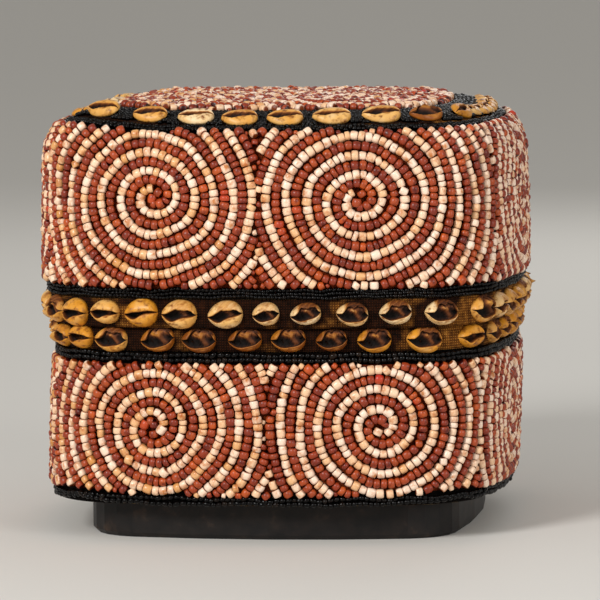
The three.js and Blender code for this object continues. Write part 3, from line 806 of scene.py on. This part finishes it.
def glass_beads(name, stops, dirt, lint_and_shade_tone, roughness, shine=0.5, yellower_left_aged_and_lit=0.0):
    """Opaque drawn glass, cut and tumbled: each bead its own shade of the batch, stained in patches with
    dirt, with brown lint packed in its hole and painted shade low between the rows.
    yellower_left_aged_and_lit is how much yellower the glass is a metre further left: partly aged there, and
    partly painted warm light from the left."""
    material, node = blank(name)
    place = node("TexCoord", {})["Object"]
    tint, soil = (node("Attribute", {}, attribute_name=kept)["Fac"] for kept in ("tint", "soil"))
    patches, stain, speck = (
        node("TexNoise", {"Vector": place, "Scale": scale, "Detail": detail})["Fac"]
        for scale, detail in ((45.0, 3.0), (300.0, 4.0), (900.0, 2.0))
    )
    share = node("Math", {0: patches, 1: 0.45}, operation="MULTIPLY")[0]
    mixed = node("Math", {0: tint, 1: 0.65, 2: share}, operation="MULTIPLY_ADD")[0]
    # Yellower further left: partly more staining there, partly painted warm light from the left
    across = node("SeparateXYZ", {0: place})[0]
    aged_and_lit = node("Math", {0: across, 1: -yellower_left_aged_and_lit, 2: mixed}, operation="MULTIPLY_ADD")[0]
    colour = node("ValToRGB", {"Fac": aged_and_lit}, stops)[0]
    grime = node("ValToRGB", {"Fac": stain}, [(0.5, 0x000000), (0.72, 0xFFFFFF)])[0]
    # The lint colour darkens the holes and is painted shade low between the rows; the dirt colour goes into
    # the stains
    for share, wash in ((soil, lint_and_shade_tone), (grime, dirt)):
        washed = {0: share, 6: colour, 7: linear(wash)}
        colour = node("Mix", washed, data_type="RGBA", blend_type="MULTIPLY")[2]
    closed(node, colour, roughness, shine, (speck, 0.15, 0.0003))
    return material


def shell_enamel():
    """Worn cowrie: glossy cream to ochre enamel, brown in pits, and brown to near black in the mouth and the
    broken back: the shell's own brown inside, and painted shade down in the hollow.
    """
    material, node = blank("cowrie enamel")
    place = node("TexCoord", {})["Object"]
    tint, hollow = (node("Attribute", {}, attribute_name=kept)["Fac"] for kept in ("tint", "hollow"))
    mottle = node("TexNoise", {"Vector": place, "Scale": 180.0, "Detail": 4.0})["Fac"]
    pits = node("TexNoise", {"Vector": place, "Scale": 420.0, "Detail": 5.0})["Fac"]
    shift = node("Math", {0: mottle, 1: 0.5, 2: -0.25}, operation="MULTIPLY_ADD")[0]
    mixed = node("Math", {0: tint, 1: shift}, operation="ADD")[0]
    ambers = [(0.1, 0xEED4A8), (0.32, 0xE2B068), (0.58, 0xD48E28), (0.8, 0x904E16), (1.0, 0x5C2E0C)]
    colour = node("ValToRGB", {"Fac": mixed}, ambers)[0]
    pitted = node("ValToRGB", {"Fac": pits}, [(0.5, 0x000000), (0.7, 0xFFFFFF)])[0]
    # The shell's own brown in the broken back, deepening to painted shade down in the mouth and the hollow
    brown_and_shade_mix = node("ValToRGB", {"Fac": hollow}, [(0.08, 0x000000), (0.32, 0xFFFFFF)])[0]
    browns = [(0.25, 0xB0702C), (0.45, 0x6E3A14), (0.7, 0x2E1407), (0.9, 0x0C0502)]
    inner = node("ValToRGB", {"Fac": hollow}, browns)[0]
    for share, under in ((pitted, linear(0x7A4216)), (brown_and_shade_mix, inner)):
        colour = node("Mix", {0: share, 6: colour, 7: under}, data_type="RGBA")[2]
    dull = node("Math", {0: hollow, 1: 0.55, 2: 0.36}, operation="MULTIPLY_ADD")[0]
    closed(node, colour, dull, 0.25, (pits, 0.25, 0.0004))
    return material


WAVE_REPEAT = 0.314  # from one band of a wave texture to the next, at a scale of 1


def woven_cloth(name, spacing, ground, lit_and_worn_patch, lit_and_worn_threshold=0.55, dyed=None):
    """Plain-woven cotton, threads crossing at a spacing wider than the real one so that it shows. ground is
    its colours from the dips to the crests, painted shade in the dips, and lit_and_worn_patch those of the
    worn or gilded places, fewer the higher lit_and_worn_threshold is and the further left; on the bands these
    patches also stand for painted light where the cloth bulges. It is dyed black below the first and above
    the second of two distances up its UV map."""
    material, node = blank(name)
    uv = node("UVMap", {}, uv_map="UVMap")[0]
    strands = {"Vector": uv, "Scale": WAVE_REPEAT / (spacing * MM), "Distortion": 0.8, "Detail Scale": 2.0}
    warp, weft = (node("TexWave", strands, bands_direction=axis)["Fac"] for axis in ("X", "Y"))
    weave = node("Math", {0: warp, 1: weft}, operation="MULTIPLY")[0]
    place = node("TexCoord", {})["Object"]
    age = node("TexNoise", {"Vector": place, "Scale": 420.0, "Detail": 3.0})["Fac"]
    patches = node("TexNoise", {"Vector": place, "Scale": 55.0, "Detail": 2.0})["Fac"]
    # Painted shade in the weave's dips, lighter on its crests, with random age
    mixed = node("Math", {0: weave, 1: 0.5, 2: age}, operation="MULTIPLY_ADD")[0]
    across = node("SeparateXYZ", {0: place})[0]
    # Worn or gilded patches, more of them further right; on the bands they are also painted light where the
    # cloth bulges
    patches = node("Math", {0: across, 1: 0.9, 2: patches}, operation="MULTIPLY_ADD")[0]
    where = node("ValToRGB", {"Fac": patches}, [(lit_and_worn_threshold - 0.05, 0x000000), (lit_and_worn_threshold + 0.06, 0xFFFFFF)])[0]
    dark, bright = node("ValToRGB", {"Fac": mixed}, ground)[0], node("ValToRGB", {"Fac": mixed}, lit_and_worn_patch)[0]
    colour = node("Mix", {0: where, 6: dark, 7: bright}, data_type="RGBA")[2]
    if dyed:
        up = node("SeparateXYZ", {0: uv})[1]
        below = node("Math", {0: up, 1: dyed[0] * MM}, operation="LESS_THAN")[0]
        above = node("Math", {0: up, 1: dyed[1] * MM}, operation="GREATER_THAN")[0]
        edge = node("Math", {0: below, 1: above}, operation="MAXIMUM")[0]
        colour = node("Mix", {0: edge, 6: colour, 7: linear(0x0C0705)}, data_type="RGBA")[2]
    closed(node, colour, 0.92, 0.08, (weave, 0.8, 0.0008))
    return material


def ground_cloth(name, covered, undyed):
    """The red-brown cloth under a wall's large beads, dyed black outside a span, under the strings."""
    start = covered[0] - CLOTH  # where its UV map starts
    return woven_cloth(name, 1.0, GROUND_REDS, WORN_REDS, dyed=[edge - start for edge in undyed])


def painted_wood():
    """Black oil paint on a planed wooden frame, dusty and rubbed brown in places."""
    material, node = blank("black painted wood")
    place = node("TexCoord", {})["Object"]
    grain = node("TexNoise", {"Vector": place, "Scale": 140.0, "Detail": 5.0})["Fac"]
    colour = node("ValToRGB", {"Fac": grain}, [(0.35, 0x0D0A09), (0.62, 0x1B1512), (0.8, 0x3A2C22)])[0]
    closed(node, colour, 0.5, 0.25, (grain, 0.3, 0.0006))
    return material


def plaited_cane():
    """Split cane plaited one over one in 6 mm strips, dull straw colour, with painted shade where a strip
    dives under the next and in the gaps between strips. It is laid round the walls, and flat across the floor
    and the lid."""
    material, node = blank("plaited cane")
    place = node("TexCoord", {})["Object"]
    x, y, z = node("SeparateXYZ", {0: place})
    turn = node("Math", {0: y, 1: x}, operation="ARCTAN2")[0]
    reach = CANE_STRIPS_ROUND * CANE_STRIP * MM / (2 * math.pi)
    run = node("Math", {0: turn, 1: reach}, operation="MULTIPLY")[0]
    round_wall = node("CombineXYZ", {0: run, 1: z})[0]
    floor_z, ceiling_z = (end * MM for end in CANE_WALL)
    near = {0: z, 1: (floor_z + ceiling_z) / 2, 2: (ceiling_z - floor_z) / 2}
    on_wall = node("Math", near, operation="COMPARE")[0]
    laid = node("Mix", {0: on_wall, 4: place, 5: round_wall}, data_type="VECTOR")[1]
    phase = node("VectorMath", {0: laid, "Scale": math.pi / (CANE_STRIP * MM)}, operation="SCALE")[0]
    across, along, _ = node("SeparateXYZ", {0: node("VectorMath", {0: phase}, operation="SINE")[0]})
    checks = node("Math", {0: across, 1: along}, operation="MULTIPLY")[0]
    lying = node("Math", {0: checks, 1: 0.0}, operation="GREATER_THAN")[0]
    arches = [node("Math", {0: wave}, operation="ABSOLUTE")[0] for wave in (across, along)]
    arch = node("Mix", {0: lying, 2: arches[1], 3: arches[0]}, data_type="FLOAT")[0]
    gap = node("Math", {0: arches[0], 1: arches[1]}, operation="MINIMUM")[0]
    fibres = node("TexNoise", {"Vector": place, "Scale": 700.0, "Detail": 4.0})["Fac"]
    colour = node("Mix", {0: lying, 6: linear(0xB4925C), 7: linear(0xCFB07C)}, data_type="RGBA")[2]
    # Painted shade where a strip dives under the next and in the gaps between strips; fibre streaks
    for shade in (
        node("ValToRGB", {"Fac": arch}, [(0.1, 0x94805E), (0.7, 0xFFFFFF)])[0],
        node("ValToRGB", {"Fac": gap}, [(0.0, 0x3C2E20), (0.16, 0xFFFFFF)])[0],
        node("ValToRGB", {"Fac": fibres}, [(0.3, 0xB8A890), (0.7, 0xFFFFFF)])[0],
    ):
        colour = node("Mix", {0: 1.0, 6: colour, 7: shade}, data_type="RGBA", blend_type="MULTIPLY")[2]
    closed(node, colour, 0.65, relief=(arch, 0.6, 0.0008))
    return material


CREAMS = [(0.25, 0xF8DCC4), (0.6, 0xF3CCA8), (0.84, 0xE9B47E), (0.97, 0xD1904A)]
BRICK_REDS = [(0.2, 0xAA471C), (0.5, 0x983817), (0.72, 0x802A14), (0.85, 0xBC531C), (0.95, 0xB42A1E)]
BLACKS = [(0.3, 0x040303), (0.75, 0x0A0707), (0.95, 0x20160F)]
PALE_GLASS = glass_beads("cream glass", CREAMS, 0xC89058, 0x8A4A20, roughness=0.3, yellower_left_aged_and_lit=1.2)
RED_GLASS = glass_beads("brick red glass", BRICK_REDS, 0x9A684A, 0x5A2410, roughness=0.36, shine=0.42)
BLACK_GLASS = glass_beads("black glass", BLACKS, 0xA09890, 0x604A40, roughness=0.12, shine=0.16)
SHELL = shell_enamel()
# The lid's band: gilt patches, also painted light where its cloth bulges. The darker cloth with fewer of them
# is painted shade on the base's band under the lid's overhang, and also covers the top's band
BAND_BROWNS = [(0.3, 0x070301), (0.6, 0x1C0C05), (0.95, 0x3A1C0B)]
BAND_GILT_AND_LIGHT = [(0.3, 0x2A1306), (0.6, 0x6E4016), (0.95, 0xB67C34)]
BAND_CLOTH = woven_cloth("brown cotton, gilded and painted lit in patches", 1.1, BAND_BROWNS, BAND_GILT_AND_LIGHT)
DARK_BAND_CLOTH = woven_cloth("brown cotton, little gilt, in painted shade", 1.1, BAND_BROWNS, BAND_GILT_AND_LIGHT, lit_and_worn_threshold=0.62)
GROUND_REDS = [(0.3, 0x4A1606), (0.9, 0x7E3010)]
WORN_REDS = [(0.3, 0x3A1206), (0.9, 0x8A3A14)]
BASE_UNDYED = (BASE_HEM[1] + HEM_RISE, BASE_FIELD[1] - 1.5)
LID_UNDYED = (LID_LINE[1] + 0.5, LID_BEADS[1] - 1)
BASE_GROUND = ground_cloth("red-brown cotton of the base", BASE_CLOTH, BASE_UNDYED)
LID_GROUND = ground_cloth("red-brown cotton of the lid", LID_CLOTH, LID_UNDYED)
TOP_GROUND = woven_cloth("red-brown cotton of the top", 1.0, GROUND_REDS, WORN_REDS)
WOOD = painted_wood()
CANE = plaited_cane()

# The three kinds of bead
Glass = namedtuple("Glass", "shape material slot")
PALE = Glass(bead_shape(0.2, 9), PALE_GLASS, "pale_beads")
RED = Glass(bead_shape(0.28, 9), RED_GLASS, "red_beads")
BLACK = Glass(bead_shape(0.36, 7), BLACK_GLASS, "black_beads")


# Dressing the frame
def dress_walls(lid, base):
    """The beadwork of the walls on its cloth, and the black strings that edge it."""
    for body, wall, front, field, covered, ground, shifts in (
        ("base", base, BASE_FRONT, BASE_FIELD, BASE_CLOTH, BASE_GROUND, BASE_CORNER_SHIFTS),
        ("lid", lid, LID_FRONT, LID_BEADS, LID_CLOTH, LID_GROUND, LID_CORNER_SHIFTS),
    ):
        sides = wall_beads(wall, field, front, shifts, hemmed=body == "base")
        for name, (pale, red) in zip(SIDES, sides):
            part = f"{body}_{name}"
            sewn(f"{part}_red_beads", wall, red, RED, body, [f"{part}_beadwork"])
            sewn(f"{part}_pale_beads", wall, pale, PALE, body, [f"{part}_left_coil", f"{part}_right_coil"])
        stretched(f"{body}_ground", wall, covered, CLOTH, GROUND_COLUMNS, 0, ground, body)
        beads = np.vstack([colour for side in sides for colour in side])
        u = np.arange(0, wall.round + LINE_STEP, LINE_STEP)
        below = reached(wall, beads[beads[:, 1] < field[0] + EDGE_DEPTH], u, -1, field[0] + 1)
        above = reached(wall, beads[beads[:, 1] > field[1] - EDGE_DEPTH], u, 1, field[1] - 1)
        if body == "base":
            low = np.maximum(hem(wall, u), 0)
            string("base_bottom_string", wall, u, low, np.maximum(below, low + 3), 2, COARSE_SPACING, body)
            string("base_shoulder_string", wall, u, above, BASE_LINE[1], 2, COARSE_SPACING, body)
        else:
            string("lid_rim_string", wall, u, LID_LINE[0], below, 3, FINE_SPACING, body)
            string("lid_top_outer_string", wall, u, above, LID_EDGE[1], 2, FINE_SPACING, body)


def dress_bands(lid, base, top):
    """The cloth bands and the shells on them."""
    for name, surface, span, cotton in (
        ("lid_band", lid, LID_BAND, BAND_CLOTH),
        ("lid_top_band", top, (0, TOP_BAND_WIDTH), DARK_BAND_CLOTH),
    ):
        band = BAND_THICKNESS, BAND_COLUMNS, BAND_RIPPLE
        stretched(f"{name}_cloth", surface, span, *band, cotton, "lid", [name])
    swollen = SEAT_GAP + BASE_BAND_THICKNESS - BASE_BAND_SWELL
    section = cloth_section(*BASE_BAND, SEAT_GAP, swollen, swell=BASE_BAND_SWELL, stations=14)
    mesh = ring("base_band", base, section, BAND_COLUMNS, BASE_BAND_RIPPLE)
    base_band = finished("base_band_cloth", mesh, DARK_BAND_CLOTH, "base", ["base_band"])
    lid_middle, base_middle = sum(LID_BAND) / 2, sum(BASE_BAND) / 2
    flat_band = SEAT_GAP + BAND_THICKNESS
    sunk, lifted = flat_band - SHELL_SINK, flat_band + TOP_SHELL_LIFT
    top_rows = []
    for side, name in enumerate(SIDES):
        if side == 0:
            on_lid, on_base, on_top = LID_FRONT_SHELLS, BASE_FRONT_SHELLS, TOP_FRONT_SHELLS
        else:
            on_lid = some_shells(10, first=-80, last=78.6, size=LID_SHELL, brown=0.4, chances=MIXED)
            # Browner than the lid's: partly painted shade under the lid's overhang
            on_base = some_shells(9, first=-81, last=77, size=BASE_SHELL, brown=0.6, chances=MIXED)
            on_top = some_shells(8, first=-61, last=56, size=TOP_SHELL, brown=0.4, chances=SOUND)
        shell_row(f"lid_{name}", lid, side, on_lid, lid_middle, sunk, LID_SHELL[2], [0] * 10)
        shell_row(f"base_{name}", base, side, on_base, base_middle, swollen, BASE_SHELL[2], [0] * 9)
        leans = TOP_SHELL_LEANS[side] + random.normal(0, 0.05, len(on_top))
        if side == 1:
            leans[0] = TOP_SHELL_LEANS[0]
        shell_row(f"lid_top_{name}", top, side, on_top, TOP_SHELLS_IN, lifted, TOP_SHELL[2], leans)
        middle = (side + 0.5) * top.round / 4
        top_rows += [(middle + across, length, width) for _, across, length, width, _ in on_top]
    u = np.arange(0, top.round + LINE_STEP, LINE_STEP)
    rows = round(TOP_BAND_WIDTH / TOP_ROW_SPACING)
    beads = black_rows(top, u, -0.6, TOP_BAND_WIDTH + 0.3, rows, FINE_SPACING)
    clear = np.full(len(beads), True)
    for middle, length, width in top_rows:
        across = (beads[:, 0] - middle) / (length / 2 - 0.3)
        along = (beads[:, 1] - TOP_SHELLS_IN + 0.8) / (width / 2 - 0.4)
        clear &= across**2 + along**2 > 1
    sewn("lid_top_band_beads", top, beads[clear], BLACK, "lid")


def dress_top():
    """The beadwork of the top on its cloth, and the black string round it."""
    top = Top()
    pale, red = top_beads(top)
    sewn("lid_top_red_beads", top, red, RED, "lid", ["lid_top_beadwork"])
    coils = [f"lid_top_{a}_{b}_coil" for a in ("front", "back") for b in ("left", "right")]
    sewn("lid_top_pale_beads", top, pale, PALE, "lid", coils)
    edge = TopEdge(TOP_STRING_OUTER)
    u = np.arange(0, edge.round + LINE_STEP, LINE_STEP)
    ring_x, ring_y = outline(u / edge.share, TOP_HALF_WIDTH, TOP_HALF_WIDTH)
    angle = np.unwrap(np.arctan2(ring_y, ring_x))
    beads = np.vstack([pale, red])
    turned = (np.arctan2(beads[:, 1], beads[:, 0]) - angle[0]) % (2 * math.pi) + angle[0]
    beads[:, 1] = TOP_STRING_OUTER - top_half_width(beads[:, 0], beads[:, 1])
    beads[:, 0] = np.interp(turned, angle, u)
    inner = reached(edge, beads[beads[:, 1] < TOP_STRING_WIDTH + EDGE_DEPTH], u, -1, TOP_STRING_WIDTH + 1)
    string("lid_top_inner_string", edge, u, 0, inner, 3, FINE_SPACING, "lid")
    bm = bmesh.new()
    bmesh.ops.create_grid(bm, x_segments=120, y_segments=16, size=0.5)
    flat = np.array([(p.co.x + 0.5, p.co.y + 0.5) for p in bm.verts])
    places = edge.at(flat[:, 0] * edge.round, flat[:, 1] * TOP_STRING_OUTER, SEAT_GAP + CLOTH) * MM
    for point, place in zip(bm.verts, places):
        point.co = place
    bmesh.ops.remove_doubles(bm, verts=bm.verts, dist=1e-6)
    uv_layer = bm.loops.layers.uv.new("UVMap")
    for face in bm.faces:
        for corner in face.loops:
            corner[uv_layer].uv = corner.vert.co.xy
    bmesh.ops.recalc_face_normals(bm, faces=bm.faces)
    mesh = mesh_from(bm, "lid_top_ground")
    cloth = finished("lid_top_ground", mesh, TOP_GROUND, "lid")


lid_wall = Wall(lid_face(), sum(LID_FIELD) / 2)
base_wall = Wall(base_face(), sum(BASE_FIELD) / 2)
dress_walls(lid_wall, base_wall)
dress_bands(lid_wall, base_wall, TopEdge(TOP_BAND_OUTER))
dress_top()
for name, finish in (("foot_frame", WOOD), ("base_core", CANE), ("lid_core", CANE)):
    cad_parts[name].data.materials.clear()
    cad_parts[name].data.materials.append(finish)


# The stage: a pale floor and soft studio light
floor_paint, floor_node = blank("pale matt floor paint")
closed(floor_node, linear(0xD9D6D0), 0.9)
bm = bmesh.new()
bmesh.ops.create_circle(bm, cap_ends=True, segments=64, radius=60)
floor_mesh = mesh_from(bm, "floor")
floor_mesh.materials.append(floor_paint)
linked("floor", floor_mesh)

LAMPS_AIM = Vector((0, 0, 0.1))
for name, place, size, power in (
    ("key", (-0.85, -1.5, 1.0), 0.6, 26.5),
    ("fill", (1.4, -1.2, 0.7), 0.9, 11),
    ("back", (0.3, 1.5, 0.9), 0.8, 4),
):
    disk = bpy.data.lights.new(name, "AREA")
    disk.shape = "DISK"
    disk.size = size
    disk.energy = power
    lamp = linked(name, disk)
    lamp.location = place
    lamp.rotation_euler = (LAMPS_AIM - lamp.location).to_track_quat("-Z", "Y").to_euler()

world = bpy.data.worlds.new("studio")
bpy.context.scene.world = world
world.use_nodes = True
sky = world.node_tree.nodes["Background"].inputs
sky["Color"].default_value = linear(0xE8E6E2)
sky["Strength"].default_value = 0.5
bpy.context.scene.view_settings.view_transform = "Standard"

# The camera, at the photograph's viewing angle
AZIMUTH, ELEVATION, ROLL = math.radians(7.0), math.radians(5.5), math.radians(0.6)
DISTANCE = 2.0
TARGET = Vector((0, 0, 0.095))
PIXELS_PER_METRE = 2250.0
IMAGE = 600.0
CENTRE_PIXEL = (290.0, 300.0)
SENSOR_WIDTH = 36

away = Vector(
    (math.sin(AZIMUTH) * math.cos(ELEVATION), -math.cos(AZIMUTH) * math.cos(ELEVATION), math.sin(ELEVATION))
)
camera_data = bpy.data.cameras.new("camera")
camera_data.sensor_width = SENSOR_WIDTH
camera_data.lens = PIXELS_PER_METRE * DISTANCE / IMAGE * SENSOR_WIDTH
camera_data.shift_x = (IMAGE / 2 - CENTRE_PIXEL[0]) / IMAGE
camera_data.shift_y = (CENTRE_PIXEL[1] - IMAGE / 2) / IMAGE
camera = linked("camera", camera_data)
facing = (-away).to_track_quat("-Z", "Y").to_matrix()
camera.rotation_euler = (facing @ Matrix.Rotation(-ROLL, 3, "Z")).to_euler()
camera.location = TARGET + away * DISTANCE
bpy.context.scene.camera = camera
